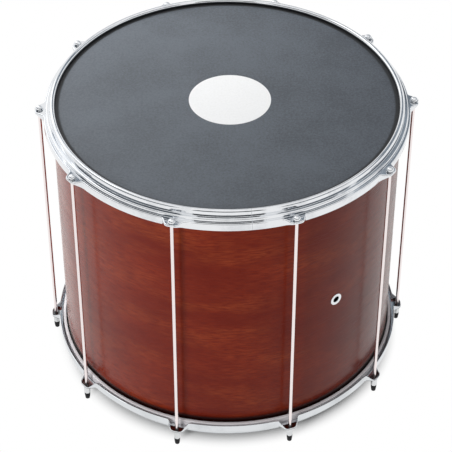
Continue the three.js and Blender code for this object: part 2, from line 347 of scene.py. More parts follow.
@dataclass(frozen=True)
class LacqueredWood:
    """Mahogany-stained veneer under satin lacquer, its grain running round the shell."""

    name: str = "lacquered_wood"
    deep: Colour = (0.128, 0.0085, 0.0028)
    mid: Colour = (0.246, 0.0285, 0.0080)
    warm: Colour = (0.335, 0.070, 0.019)
    pore: Colour = (0.09, 0.012, 0.006)
    # Painted shade: a near-black that the wood turns to towards both ends of the shell, next to the hoops.
    stain: Colour = (0.011, 0.0008, 0.0004)
    edge_stain: float = 0.0262
    raw: Colour = (0.52, 0.35, 0.2)
    raw_grain: Colour = (0.34, 0.2, 0.1)
    patches: Triple = (4.2, 7.0, 3)
    warm_patches: Triple = (4.0, 14.0, 4)
    bands: Triple = (9.0, 90.0, 4)
    fine_grain: Triple = (46.0, 440.0, 3)
    pores: Triple = (55.0, 1500.0, 2)
    face_on: float = 0.05
    haze: float = 0.27

    def material(self) -> Material:
        """Builds the material.

        Returns:
            The material.
        """
        paint = Paint(self.name)
        around = paint.times(paint.azimuth(), SHELL_RADIUS)
        waver = paint.noise(paint.join(paint.times(around, 3.0), paint.times(paint.z, 4.0), 0.0), 1.0, 2)
        lifted = paint.plus(paint.z, paint.times(waver, 0.02))

        def streak(along: float, across: float, detail: float) -> Socket:
            """Noise drawn out along the grain, by its scales along and across it."""
            spot = paint.join(paint.times(around, along), paint.times(lifted, across), 0.0)
            return paint.noise(spot, 1.0, detail, 0.6)

        patches = streak(*self.patches)
        bands = streak(*self.bands)
        fine = streak(*self.fine_grain)
        pores = streak(*self.pores)
        colour = paint.blend(paint.remap(patches, (0.3, 0.72)), self.deep, self.mid)
        warmth = paint.times(paint.remap(streak(*self.warm_patches), (0.42, 0.72)), 0.45)
        colour = paint.blend(warmth, colour, self.warm)
        colour = paint.blend(paint.remap(bands, (0.38, 0.72), (0.0, 0.3)), colour, self.deep)
        colour = paint.blend(paint.remap(fine, (0.4, 0.64), (0.0, 0.85)), colour, self.deep)
        pored = paint.remap(pores, (0.62, 0.78), (0.0, 0.6))
        colour = paint.blend(pored, colour, self.pore)
        # Painted shade: the wood darkens to near-black towards both ends of the shell, where it meets the
        # hoops.
        rise = paint.math("ABSOLUTE", paint.minus(paint.z, (SHELL_TOP + SHELL_BOTTOM) / 2))
        edge = (SHELL_TOP - SHELL_BOTTOM) / 2 - self.edge_stain
        colour = paint.blend(paint.remap(rise, (edge - 0.0098, edge)), colour, self.stain)
        inside = paint.remap(paint.radius(), (SHELL_RADIUS - 0.0012, SHELL_RADIUS - 0.0018))
        grained = paint.blend(paint.times(fine, 0.5), self.raw, self.raw_grain)
        colour = paint.blend(inside, colour, grained)
        rough = paint.remap(paint.plus(fine, bands), (0.7, 1.4), (0.21, 0.31))
        rough = paint.math("MAXIMUM", rough, paint.times(inside, 0.7))
        swell = paint.noise(paint.place, 22.0, 2)
        normal = paint.bump(swell, 0.00012)
        normal = paint.bump(fine, 0.00003, normal)
        normal = paint.bump(paint.minus(1.0, pored), 0.00002, normal)
        tint = (self.face_on, self.face_on, self.face_on, 1.0)
        return paint.finish(
            Base_Color=colour, Roughness=rough, Normal=normal, Specular_Tint=tint,
            Sheen_Weight=self.haze, Sheen_Roughness=0.25, Sheen_Tint=(1.0, 0.93, 0.87, 1.0),
        )


@dataclass(frozen=True)
class SyntheticLeather:
    """Matt black synthetic leather with a fine grain, and on the upper skin a white printed disc."""

    name: str
    dark: Colour = (0.031, 0.037, 0.0465)
    light: Colour = (0.094, 0.109, 0.132)
    # Painted light: lighter tones that the skin turns to towards -X, standing in for the sheen of the lamps
    # at the back left.
    faded: Colour = (0.105, 0.119, 0.137)
    chalked: Colour = (0.152, 0.171, 0.195)
    white: Colour = (0.81, 0.815, 0.82)
    ink: Colour = (0.77, 0.775, 0.775)
    tones: Pair = (0.4, 0.75)
    pebble_scale: float = 820.0
    crease_scale: float = 260.0
    cloud_scale: float = 9.0
    # Painted shadow: a near-black ring on the skin just inside the rim, standing in for the rim's shadow on
    # the skin.
    bent: Colour = (0.006, 0.0065, 0.008)
    bend: Pair = (0.2905, 0.2945)
    disc_radius: float = 0.0718
    disc_centre: Pair | None = None

    def material(self) -> Material:
        """Builds the material.

        Returns:
            The material.
        """
        paint = Paint(self.name)
        cells = paint.add(
            "ShaderNodeTexVoronoi", {"Vector": paint.place, "Scale": self.pebble_scale, "Randomness": 1.0},
            feature="DISTANCE_TO_EDGE",
        ).outputs["Distance"]
        pebble = paint.remap(cells, (0.0, 0.32))
        crease = paint.noise(paint.place, self.crease_scale, 4, 0.7)
        cloud = paint.noise(paint.place, self.cloud_scale, 4, 0.6)
        tone = paint.plus(paint.times(cloud, 0.45), paint.times(crease, 0.75))
        colour = paint.blend(paint.remap(tone, self.tones), self.dark, self.light)
        colour = paint.blend(paint.times(paint.minus(1.0, pebble), 0.5), colour, self.dark)
        # Painted light: the skin turns lighter towards -X, standing in for the sheen of the lamps at the back
        # left.
        painted_light_share = paint.remap(paint.x, (0.3, -0.3), (0.0, 0.56), soft=False)
        painted_lit_tone = paint.blend(paint.remap(tone, self.tones), self.faded, self.chalked)
        colour = paint.blend(painted_light_share, colour, painted_lit_tone)
        # Painted shadow: the skin turns near-black in a ring just inside the rim.
        bent = paint.remap(paint.radius(), self.bend)
        colour = paint.blend(bent, colour, self.bent)
        rough = paint.remap(tone, self.tones, (0.46, 0.58))
        if self.disc_centre is not None:
            dx = paint.minus(paint.x, self.disc_centre[0])
            dy = paint.minus(paint.y, self.disc_centre[1])
            away = paint.math("SQRT", paint.plus(paint.times(dx, dx), paint.times(dy, dy)))
            away = paint.plus(away, paint.times(crease, 0.0003))
            print_share = paint.remap(away, (self.disc_radius + 0.0002, self.disc_radius - 0.0002))
            ink = paint.blend(paint.remap(crease, (0.35, 0.75)), self.white, self.ink)
            colour = paint.blend(print_share, colour, ink)
            rough = paint.minus(rough, paint.times(print_share, 0.12))
        normal = paint.bump(pebble, 0.00005)
        normal = paint.bump(crease, 0.00006, normal)
        normal = paint.bump(paint.noise(paint.place, 14.0, 2), 0.0003, normal)
        return paint.finish(Base_Color=colour, Roughness=rough, Normal=normal, Specular_IOR_Level=0.5)


@dataclass(frozen=True)
class BrushedAluminium:
    """Satin aluminium, brushed round the hoop."""

    name: str = "aluminium"
    light: Colour = (0.9, 0.88, 0.9)
    dark: Colour = (0.76, 0.74, 0.77)
    along: float = 9.0
    across: float = 900.0

    def material(self) -> Material:
        """Builds the material.

        Returns:
            The material.
        """
        paint = Paint(self.name)
        around = paint.times(paint.azimuth(), self.along)
        out, up = (paint.times(way, self.across) for way in (paint.radius(), paint.z))
        spot = paint.join(around, out, up)
        brush = paint.noise(spot, 1.0, 4, 0.65)
        colour = paint.blend(paint.remap(brush, (0.35, 0.7)), self.light, self.dark)
        rough = paint.remap(brush, (0.3, 0.75), (0.42, 0.58))
        normal = paint.bump(brush, 0.00003)
        return paint.finish(Base_Color=colour, Metallic=0.12, Roughness=rough, Normal=normal)


@dataclass(frozen=True)
class Rubber:
    """Black moulded rubber, dusty where it is scuffed."""

    name: str = "rubber"
    black: Colour = (0.012, 0.012, 0.013)
    dust: Colour = (0.045, 0.045, 0.047)
    scuff_scale: float = 240.0
    grain_scale: float = 900.0

    def material(self) -> Material:
        """Builds the material.

        Returns:
            The material.
        """
        paint = Paint(self.name)
        scuff = paint.noise(paint.place, self.scuff_scale, 5, 0.7)
        low = paint.remap(paint.z, (0.006, 0.0), (0.0, 0.35))
        dusty = paint.plus(paint.remap(scuff, (0.5, 0.8), (0.0, 0.6)), low)
        colour = paint.blend(dusty, self.black, self.dust)
        rough = paint.remap(scuff, (0.3, 0.7), (0.5, 0.72))
        normal = paint.bump(paint.noise(paint.place, self.grain_scale, 3), 0.00005)
        return paint.finish(Base_Color=colour, Roughness=rough, Normal=normal, Specular_IOR_Level=0.15)


@dataclass(frozen=True)
class StudioFloor:
    """Seamless white paper that keeps the drum's shadow and runs out to plain white."""

    name: str = "studio_floor"
    colour: Colour = (0.93, 0.935, 0.935)
    fade_from: float = 0.291
    fade_to: float = 0.33

    def material(self) -> Material:
        """Builds the material.

        Returns:
            The material.
        """
        paint = Paint(self.name)
        fibre = paint.noise(paint.place, 60.0, 3)
        paper = paint.blend(fibre, self.colour, tuple(0.985 * c for c in self.colour))
        paint.finish(Base_Color=paper, Roughness=0.95, Specular_IOR_Level=0.0)
        away = paint.remap(paint.radius(), (self.fade_from, self.fade_to))
        white = paint.add("ShaderNodeEmission", {"Color": WHITE, "Strength": 1.0})
        feeds = {0: paint.times(paint.seen(), away), 1: paint.shader.outputs[0], 2: white.outputs[0]}
        mixed = paint.add("ShaderNodeMixShader", feeds)
        out = next(n for n in paint.tree.nodes if n.type == "OUTPUT_MATERIAL")
        paint.feed(out.inputs[0], mixed.outputs[0])
        return paint.material


class Tree(Graph):
    """A Geometry Nodes tree with named inputs, which ends in plain dressed geometry."""

    def __init__(self, name: str, **inputs: str) -> None:
        """Makes the tree with a geometry input, a material input and the ones named.

        Args:
            name: The tree's name.
            inputs: The socket type of each further input, with underscores for spaces.
        """
        super().__init__(bpy.data.node_groups.new(name, "GeometryNodeTree"))
        self.ids: dict[str, str] = {}
        kinds = {"Geometry": "Geometry", "Material": "Material", **inputs}
        for label, kind in kinds.items():
            item = self.tree.interface.new_socket(label, in_out="INPUT", socket_type=f"NodeSocket{kind}")
            self.ids[label] = item.identifier
        self.tree.interface.new_socket("Geometry", in_out="OUTPUT", socket_type="NodeSocketGeometry")
        entry = self.add("NodeGroupInput")
        self.given = {label: entry.outputs[label] for label in kinds}

    def make(self, kind: str, feeds: Feeds = None, **settings: object) -> Socket:
        """The first output of a new geometry node."""
        return self.add(f"GeometryNode{kind}", feeds, **settings).outputs[0]

    def end(self, shape: Socket) -> None:
        """Realizes, dresses and hands out what the tree has made."""
        feeds = {"Geometry": self.make("RealizeInstances", {0: shape}), "Material": self.given["Material"]}
        self.add("NodeGroupOutput", {0: self.make("SetMaterial", feeds)})

    def spots(self) -> tuple[Socket, Socket]:
        """Lays points round the drum's axis, as the tree's own inputs say.

        Returns:
            The points, and the azimuth of each.
        """
        given = self.given
        step = self.times(self.make("InputIndex"), given["Spacing"])
        azimuth = self.plus(step, given["First"])
        spot = self.swing(azimuth, given["Circle"], given["Height"])
        points = self.make("Points", {"Count": given["Count"]})
        return self.make("SetPosition", {"Geometry": points, "Position": spot}), azimuth

    def stand(self, shape: Socket) -> Socket:
        """Stands a copy of a shape on each of the tree's points.

        Args:
            shape: The shape, drawn at the origin.

        Returns:
            The copies, as instances.
        """
        points, azimuth = self.spots()
        turn = self.join(self.given["Tilt"], 0.0, azimuth)
        feeds = {"Points": points, "Instance": shape, "Rotation": turn}
        return self.make("InstanceOnPoints", feeds)


class Workshop:
    """The drum's Geometry Nodes trees, and how a shape is run through them."""

    ROUND = {"Count": "Int", **dict.fromkeys(("First", "Spacing", "Circle", "Height", "Tilt"), "Float")}

    def __init__(self) -> None:
        """Builds each tree once."""
        self.turning = self._turning()
        self.ringing = self._ringing()
        self.drilling = self._drilling()
        self.hexing = self._hexing()

    def _turning(self) -> Tree:
        """Turns a profile, a row of points in the XZ plane, round the Z axis.

        Returns:
            The tree.
        """
        tree = Tree("turning", Facets="Int")
        size = tree.add("GeometryNodeAttributeDomainSize", {0: tree.given["Geometry"]}, component="MESH")
        rows = size.outputs["Point Count"]
        columns = tree.plus(tree.given["Facets"], 1.0)
        feeds = {"Size X": 1.0, "Size Y": 1.0, "Vertices X": rows, "Vertices Y": columns}
        grid = tree.make("MeshGrid", feeds)
        place = tree.make("InputPosition")
        across, round_share, _ = tree.parts(place)
        steps = tree.times(tree.plus(across, 0.5), tree.minus(rows, 1.0))
        feeds = {"Geometry": tree.given["Geometry"], "Value": place, "Index": tree.math("ROUND", steps)}
        drawn = tree.make("SampleIndex", feeds, data_type="FLOAT_VECTOR")
        radius, _, height = tree.parts(drawn)
        azimuth = tree.times(tree.plus(round_share, 0.5), 2 * math.pi)
        feeds = {"Geometry": grid, "Position": tree.swing(azimuth, radius, height)}
        turned = tree.make("SetPosition", feeds)
        merged = tree.make("MergeByDistance", {"Geometry": turned, "Distance": 1e-6})
        tree.end(merged)
        return tree

    def _ringing(self) -> Tree:
        """Stands copies of a shape round the drum.

        Returns:
            The tree.
        """
        tree = Tree("ringing", **self.ROUND)
        tree.end(tree.stand(tree.given["Geometry"]))
        return tree

    def _drilling(self) -> Tree:
        """Drills holes round the drum.

        Returns:
            The tree.
        """
        tree = Tree("drilling", Hole_radius="Float", Hole_length="Float", **self.ROUND)
        feeds = {"Vertices": 40, "Radius": tree.given["Hole_radius"], "Depth": tree.given["Hole_length"]}
        drill = tree.make("MeshCylinder", feeds)
        drills = tree.make("RealizeInstances", {0: tree.stand(drill)})
        feeds = {0: tree.given["Geometry"], 1: drills}
        tree.end(tree.make("MeshBoolean", feeds, operation="DIFFERENCE", solver="MANIFOLD"))
        return tree

    def _hexing(self) -> Tree:
        """Cuts a round blank to a hexagon.

        Returns:
            The tree.
        """
        tree = Tree("hexing", Across_flats="Float", Length="Float")
        corner = tree.math("DIVIDE", tree.given["Across_flats"], 2 * math.cos(math.pi / 6))
        feeds = {"Vertices": 6, "Radius": corner, "Depth": tree.given["Length"]}
        prism = tree.make("MeshCylinder", feeds)
        cut = tree.add(
            "GeometryNodeMeshBoolean", {1: tree.given["Geometry"]}, operation="INTERSECT", solver="MANIFOLD",
        )
        tree.tree.links.new(prism, cut.inputs[1])
        tree.end(cut.outputs[0])
        return tree

    def run(self, seed: Mesh, material: Material, *steps: tuple[Tree, Inputs]) -> Mesh:
        """Runs a mesh through trees and returns a plain one.

        Args:
            seed: The mesh to start from.
            material: What the trees dress it in.
            steps: Each tree with the values of its inputs.

        Returns:
            The finished mesh.
        """
        holder = put("work_in_hand", seed)
        for tree, values in steps:
            modifier = holder.modifiers.new(tree.tree.name, "NODES")
            modifier.node_group = tree.tree
            for label, value in {"Material": material, **values}.items():
                modifier[tree.ids[label]] = value
        graph = bpy.context.evaluated_depsgraph_get()
        mesh = bpy.data.meshes.new_from_object(holder.evaluated_get(graph), depsgraph=graph)
        holder.modifiers.clear()
        bpy.data.objects.remove(holder)
        return mesh

    def turn(self, profile: Profile, material: Material, facets: int, *steps: tuple[Tree, Inputs]) -> Mesh:
        """Turns a profile and runs the result through further trees."""
        return self.run(profile_mesh(profile), material, (self.turning, {"Facets": facets}), *steps)


def ring(
    height: float, count: int = ROD_COUNT, first: float = ROD_AZIMUTHS[0],
    circle: float = ROD_CIRCLE, tilt: float = 0.0,
) -> Inputs:
    """The inputs that stand copies round the drum, by default one at each rod."""
    return {
        "Count": count, "First": first, "Spacing": SECTOR, "Circle": circle, "Height": height, "Tilt": tilt,
    }


def unit(way: np.ndarray) -> np.ndarray:
    """A way with a length of one."""
    return way / np.linalg.norm(way)


def azimuth_point(azimuth: float, radius: float, height: float) -> Triple:
    """The place at an azimuth, a radius and a height."""
    return radius * math.sin(azimuth), -radius * math.cos(azimuth), height


def arc(centre: Pair, radius: float, start: float, stop: float, steps: int) -> Profile:
    """Points along an arc from one angle to another in degrees, round a radius and a height."""
    angles = np.radians(np.linspace(start, stop, steps + 1))
    return [(centre[0] + radius * math.cos(a), centre[1] + radius * math.sin(a)) for a in angles]


def profile_mesh(profile: Profile) -> Mesh:
    """Makes a row of points, for the turning tree.

    Args:
        profile: The points, as radius and height.

    Returns:
        A mesh of edges alone.
    """
    mesh = bpy.data.meshes.new("profile")
    edges = [(i, i + 1) for i in range(len(profile) - 1)]
    mesh.from_pydata([(r, 0.0, z) for r, z in profile], edges, [])
    return mesh


def face_outwards(mesh: Mesh) -> None:
    """Turns the faces of a closed mesh outwards, going by the sign of its volume.

    Args:
        mesh: The mesh.
    """
    mesh.calc_loop_triangles()
    points = np.zeros(len(mesh.vertices) * 3)
    corners = np.zeros(len(mesh.loop_triangles) * 3, np.int32)
    mesh.vertices.foreach_get("co", points)
    mesh.loop_triangles.foreach_get("vertices", corners)
    a, b, c = (points.reshape(-1, 3)[corners.reshape(-1, 3)[:, i]] for i in range(3))
    if (a * np.cross(b, c)).sum() < 0:
        mesh.flip_normals()


def piece(
    name: str, mesh: Mesh, body: str, nodes: Sequence[str], sharp_angle: float = 42.0
) -> bpy.types.Object:
    """Puts a finished mesh into the scene as a piece of the drum.

    Args:
        name: The piece's name.
        mesh: Its mesh, already in place.
        body: The body that it rides on.
        nodes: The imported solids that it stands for.
        sharp_angle: The angle in degrees above which an edge stays sharp.

    Returns:
        The new object.
    """
    face_outwards(mesh)
    mesh.polygons.foreach_set("use_smooth", [True] * len(mesh.polygons))
    mesh.set_sharp_from_angle(angle=math.radians(sharp_angle))
    mesh.name = name
    made = put(name, mesh)
    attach(made, body)
    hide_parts(*nodes)
    LOG.info("%s: %d faces, rides on %s", name, len(mesh.polygons), body)
    return made


@dataclass
class Shell:
    """The plywood shell with its bevelled bearing edges, its vent hole and the vent's eyelet."""

    workshop: Workshop
    wood: Material
    chrome: Material
    wall: float = 0.008
    edge_round: float = 0.0015
    edge_land: float = 0.0012
    edge_break: float = 0.0002
    vent_azimuth: float = SECTOR
    vent_height: float = 0.2846
    vent_bore: float = 0.0060
    vent_tube: float = 0.0070
    vent_gap: float = 0.0005
    vent_flange: float = 0.0116
    vent_seat: float = 0.0002
    vent_face: float = 0.0016
    mouth_round: float = 0.0011
    flange_round: float = 0.0009

    def _half_profile(self) -> Profile:
        """Draws the upper half of the wall.

        Returns:
            Its points from the outside inwards, with heights from the shell's middle.
        """
        half = (SHELL_TOP - SHELL_BOTTOM) / 2
        inside = SHELL_RADIUS - self.wall
        land = SHELL_RADIUS - self.edge_round - self.edge_land
        bevel = land - inside
        outer = arc((SHELL_RADIUS - self.edge_round, half - self.edge_round), self.edge_round, 0, 90, 5)
        heights = (0.1, half - 0.03, half - self.edge_round - 0.0004)
        rise = [(SHELL_RADIUS, h) for h in heights]
        edge = [(land, half), (land - self.edge_break, half - self.edge_break), (inside, half - bevel)]
        return [*rise, *outer, *edge, (inside, 0.1)]

    def build(self) -> None:
        """Builds the shell and the eyelet."""
        middle = (SHELL_TOP + SHELL_BOTTOM) / 2
        upper = self._half_profile()
        lower = [(r, -h) for r, h in reversed(upper)]
        loop = [(r, h + middle) for r, h in [*lower, *upper]]
        vent = ring(self.vent_height, 1, self.vent_azimuth, SHELL_RADIUS, math.pi / 2)
        drill = {**vent, "Hole_radius": self.vent_tube + self.vent_gap, "Hole_length": DRILL_LENGTH}
        w = self.workshop
        mesh = w.turn([*loop, loop[0]], self.wood, SMOOTH_FACETS, (w.drilling, drill))
        piece("shell_wood", mesh, Body.SHELL.value, ["shell"])
        eyelet = w.turn(self._eyelet_profile(), self.chrome, 64, (w.ringing, vent))
        piece("vent_ring", eyelet, Body.SHELL.value, ["vent_eyelet"])

    def _eyelet_profile(self) -> Profile:
        """Draws the eyelet.

        Returns:
            One closed loop, with heights from the face of the shell outwards.
        """
        back = -self.wall - 0.0019
        mouth, bend = self.mouth_round, self.flange_round
        lip = arc((self.vent_bore + mouth, self.vent_face - mouth), mouth, 90, 180, 6)
        brow = arc((self.vent_flange - bend, self.vent_seat + 0.0004), bend, 0, 68, 5)
        loop = [
            (self.vent_bore, back), (0.0088, back), (0.0094, back + 0.0002), (0.0096, back + 0.0005),
            (0.0094, back + 0.0008), (self.vent_tube, back + 0.0008), (self.vent_tube, self.vent_seat),
            (self.vent_flange, self.vent_seat), *brow, (self.vent_flange - 0.0024, self.vent_face), *lip,
        ]
        return [*loop, loop[0]]


@dataclass
class Skin:
    """One skin: a round sheet of synthetic leather with its collar pulled down over the shell."""

    workshop: Workshop
    end: End
    leather: Material
    gap: float = 0.0003
    thickness: float = 0.001
    collar_depth: float = 0.019
    shoulder: float = 0.0021
    under_round: float = 0.0012
    straight_from: float = -0.006

    def build(self) -> None:
        inner = SHELL_RADIUS + self.gap
        outer = inner + self.thickness
        face = self.gap + self.thickness
        r = self.under_round
        under = arc((inner - r, self.gap - r), r, 90, 0, 5)
        over = arc((outer - self.shoulder, face - self.shoulder), self.shoulder, 0, 90, 8)
        flat = [0.0, 0.1, 0.2, 0.28, 0.3]
        profile = [
            *[(x, self.gap) for x in flat], *under, (inner, self.straight_from), (inner, -self.collar_depth),
            (outer, -self.collar_depth), (outer, self.straight_from), *over,
            *[(x, face) for x in reversed(flat)],
        ]
        mesh = self.workshop.turn(profile, self.leather, SMOOTH_FACETS)
        mesh.transform(self.end.placing)
        prefix = self.end.node_prefix
        made = piece(f"skin_{self.end.value}", mesh, Body.SHELL.value, [f"{prefix}_skin"])


@dataclass
class FleshHoop:
    """The hoop that holds the edge of a skin, which the rim presses on."""

    workshop: Workshop
    end: End
    metal: Material
    inner: float = 0.3071
    outer: float = 0.3126
    top: float = -0.0043
    height: float = 0.0175
    corner: float = 0.0011

    def build(self) -> None:
        """Builds the hoop."""
        c = self.corner
        low, high = self.top - self.height, self.top
        corners = [
            ((self.outer - c, low + c), -90, 0), ((self.outer - c, high - c), 0, 90),
            ((self.inner + c, high - c), 90, 180), ((self.inner + c, low + c), 180, 270),
        ]
        loop: Profile = []
        for centre, start, stop in corners:
            loop += arc(centre, c, start, stop, 4)
        mesh = self.workshop.turn([*loop, loop[0]], self.metal, SMOOTH_FACETS)
        mesh.transform(self.end.placing)
        node = f"{self.end.node_prefix}_flesh_hoop"
        piece(f"hoop_{self.end.value}", mesh, self.end.rim_body, [node])


@dataclass
class Rim:
    """One pressed rim: rolled lip, wall, step, second wall, flange with ten ears, and skirt.

    Heights run from the bearing edge, and the outline of the ears is drawn on plan.
    """

    workshop: Workshop
    end: End
    chrome: Material
    sheet: float = 0.0018
    lip_top: float = 0.0094
    lip_roll: float = 0.0039
    lip_wall: float = 0.3080
    seat_line: float = -0.0031
    hoop_wall: float = 0.3145
    flange_line: float = -0.0099
    skirt_line: float = 0.3191
    fold: float = 0.0015
    bend: float = 0.0012
    ear_face: float = -0.009
    skirt_depth: float = 0.0140
    tip_depth: float = 0.0032
    ear_reach: float = 0.0151
    ear_base: float = 0.0182
    ear_tip: float = 0.0088
    base_fillet: float = 0.0065
    tip_fillet: float = 0.0082
    hole_radius: float = 0.0035
    hole_length: float = 0.006
    station: float = 0.0062
    tuck: float = 0.0004
    flange_rests: Triple = (0.12, 0.5, 0.88)

    def _plan(self) -> np.ndarray:
        """Draws the skirt's line on plan over one sector.

        Returns:
            Rows of the length round the rim and the height beyond it.
        """
        half = self.skirt_line * SECTOR / 2
        corners = [
            (-half, 0.0, 0.0), (-self.ear_base, 0.0, self.base_fillet),
            (-self.ear_tip, self.ear_reach, self.tip_fillet), (self.ear_tip, self.ear_reach, self.tip_fillet),
            (self.ear_base, 0.0, self.base_fillet), (half, 0.0, 0.0),
        ]
        rows = [np.array(corners[0][:2])]
        for before, here, after in zip(corners, corners[1:], corners[2:]):
            point = np.array(here[:2])
            into = unit(np.array(before[:2]) - point)
            out = unit(np.array(after[:2]) - point)
            half_turn = math.acos(float(np.clip(into @ out, -1, 1))) / 2
            middle = unit(into + out)
            centre = point + middle * here[2] / math.sin(half_turn)
            first = point + into * here[2] / math.tan(half_turn)
            last = point + out * here[2] / math.tan(half_turn)
            for share in np.linspace(0, 1, 8):
                way = (first - centre) * (1 - share) + (last - centre) * share
                rows.append(centre + way * here[2] / np.linalg.norm(way))
        rows.append(np.array(corners[-1][:2]))
        filled = [rows[0]]
        for start, stop in zip(rows, rows[1:]):
            steps = max(1, math.ceil(float(np.linalg.norm(stop - start)) / self.station))
            filled += [start + (stop - start) * i / steps for i in range(1, steps + 1)]
        return np.array(filled[:-1])

    def _centreline(self) -> tuple[np.ndarray, np.ndarray]:
        """Draws the sheet's middle from the lip's free edge to the skirt's.

        Returns:
            The points as radius and height, and those of the bend and skirt as the
            distance from the skirt's line and a height, with a mark for its free edge.
        """
        f = self.fold
        lip_centre = (self.lip_wall - self.lip_roll, self.lip_top - self.sheet / 2 - self.lip_roll)
        inner = [
            *arc(lip_centre, self.lip_roll, 180, 0, 15),
            (self.lip_wall, self.seat_line + f + self.tuck),
            *arc((self.lip_wall + f, self.seat_line + f), f, 180, 270, 5),
            *arc((self.hoop_wall - f, self.seat_line - f), f, 90, 0, 5),
            (self.hoop_wall, self.seat_line - f - self.tuck),
            (self.hoop_wall, self.flange_line + f + self.tuck),
            *arc((self.hoop_wall + f, self.flange_line + f), f, 180, 270, 5),
        ]
        outer = [
            (-self.bend - 0.0003, self.flange_line),
            *arc((-self.bend, self.flange_line - self.bend), self.bend, 90, 0, 6),
            (0.0, self.flange_line - self.bend - 0.0001), (0.0, FREE_EDGE),
        ]
        return np.array(inner), np.array(outer)

    def _cap(self, centre: np.ndarray, side: np.ndarray, along: np.ndarray) -> list[np.ndarray]:
        """The round of a free edge at every station, from its side and the way out along the sheet."""
        reach, angles = self.sheet / 2, np.radians([45, 90, 135])
        return [centre + reach * (math.cos(a) * side + math.sin(a) * along) for a in angles]

    def _loops(self) -> np.ndarray:
        """Works out the sheet's closed outline at every station round the rim.

        Returns:
            The places, by station and by point of the outline.
        """
        sector = self._plan()
        azimuth = np.concatenate([sector[:, 0] / self.skirt_line + a for a in ROD_AZIMUTHS])
        height = np.tile(sector[:, 1], ROD_COUNT)
        out = np.stack([np.sin(azimuth), -np.cos(azimuth)], axis=1)
        line = out * (self.skirt_line + height)[:, None]
        along = np.roll(line, -1, axis=0) - np.roll(line, 1, axis=0)
        along /= np.linalg.norm(along, axis=1)[:, None]
        facing = np.stack([along[:, 1], -along[:, 0]], axis=1)
        rest = np.clip(1 - height / self.ear_reach, 0, 1) ** 1.2
        edge = self.ear_face - self.tip_depth - (self.skirt_depth - self.tip_depth) * rest + self.sheet / 2
        inner, outer = self._centreline()
        up = np.array([0.0, 0.0, 1.0])

        def lay(flat: np.ndarray, z: np.ndarray | float) -> np.ndarray:
            """Joins places on plan and heights."""
            return np.concatenate([flat, np.broadcast_to(z, (len(flat),))[:, None]], axis=1)

        middles = [lay(out * r, z) for r, z in inner]
        skirt = [lay(line + facing * n, edge if z == FREE_EDGE else z) for n, z in outer]
        middles += [middles[-1] * (1 - s) + skirt[0] * s for s in self.flange_rests]
        middles += skirt
        ways = [unit(b - a) for a, b in zip(inner, inner[1:])] + [np.array([1.0, 0.0])]
        turned = [(-self.bend - 0.001, self.flange_line)]
        turned += [(n, -1.0 if z == FREE_EDGE else z) for n, z in outer]
        skirt_ways = [unit(np.array(b) - np.array(a)) for a, b in zip(turned, turned[1:])]

        def mitred(outwards: np.ndarray, met: list[tuple[np.ndarray, np.ndarray]]) -> list[np.ndarray]:
            """The sheet's side at each bend, halfway between the two ways that meet there."""
            means = [unit(one + other) for one, other in met]
            return [lay(outwards * -mean[1], mean[0]) for mean in means]

        nothing = np.zeros(2)
        sides = mitred(out, list(zip(ways, [nothing, *ways])))
        sides += [np.broadcast_to(up, (len(out), 3))] * 3
        sides += mitred(facing, list(zip(skirt_ways, [*skirt_ways[1:], nothing])))
        half, down = self.sheet / 2, np.array([0.0, 0.0, -1.0])
        start = self._cap(middles[0], sides[0], lay(out * -ways[0][0], -ways[0][1]))
        stop = self._cap(middles[-1], -sides[-1], np.broadcast_to(down, (len(out), 3)))
        near = [m - half * s for m, s in zip(middles, sides)]
        far = [m + half * s for m, s in zip(middles, sides)]
        return np.stack([*near, *stop, *reversed(far), *start], axis=1)

    def _blank(self) -> Mesh:
        """Makes the rim before its ears are drilled.

        Returns:
            Its closed mesh.
        """
        loops = self._loops()
        stations, count, _ = loops.shape
        index = np.arange(stations * count).reshape(stations, count)
        right, down = np.roll(index, -1, axis=0), np.roll(index, -1, axis=1)
        faces = np.stack([index, right, np.roll(right, -1, axis=1), down], axis=2).reshape(-1, 4)
        mesh = bpy.data.meshes.new("rim_blank")
        mesh.from_pydata(loops.reshape(-1, 3).tolist(), [], faces.tolist())
        face_outwards(mesh)
        return mesh

    def build(self) -> None:
        """Builds the rim."""
        holes = {**ring(self.flange_line), "Hole_radius": self.hole_radius, "Hole_length": self.hole_length}
        mesh = self.workshop.run(self._blank(), self.chrome, (self.workshop.drilling, holes))
        mesh.transform(self.end.placing)
        node = f"{self.end.node_prefix}_rim"
        piece(f"rim_{self.end.value}", mesh, self.end.rim_body, [node], 38.0)


